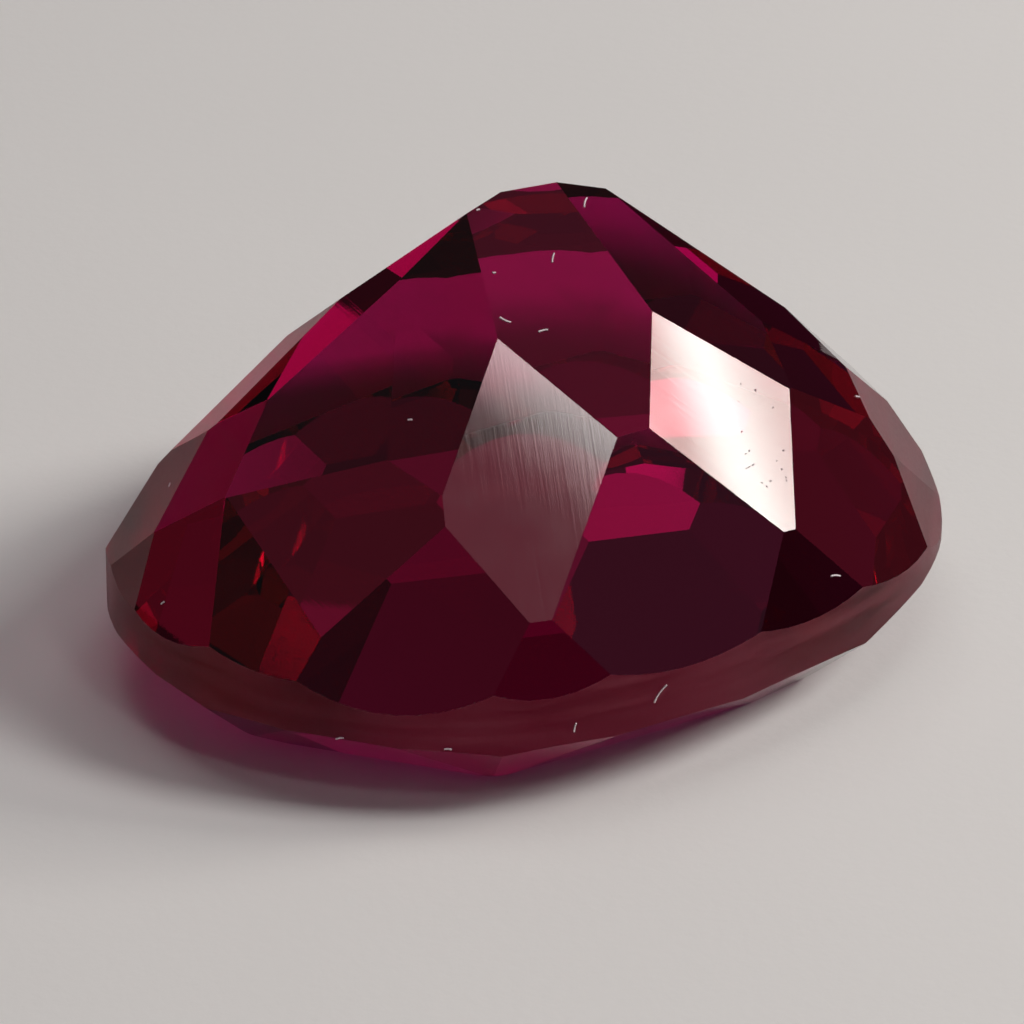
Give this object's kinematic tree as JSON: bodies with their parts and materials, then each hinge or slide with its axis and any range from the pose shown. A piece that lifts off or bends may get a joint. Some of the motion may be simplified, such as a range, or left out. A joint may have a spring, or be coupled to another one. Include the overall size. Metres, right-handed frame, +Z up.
{
  "type": "faceted gemstone",
  "caption": "Loose oval faceted gemstone of clear deep red corundum, with a pointed pavilion, a frosted girdle band, a low crown and a flat table it lies on.",
  "frame": {"origin": "centre of the stone's outline, on the flat table it lies on", "axes": "+Z up from the table to the point of the pavilion, +X along the oval's long axis"},
  "size_m": [0.0122, 0.0102, 0.0071],
  "materials": {
    "sapphire": "polished clear deep red corundum facets, ground matt on the girdle band"
  },
  "bodies": {
    "root": {"sapphire": "sapphire"}
  },
  "joints": []
}
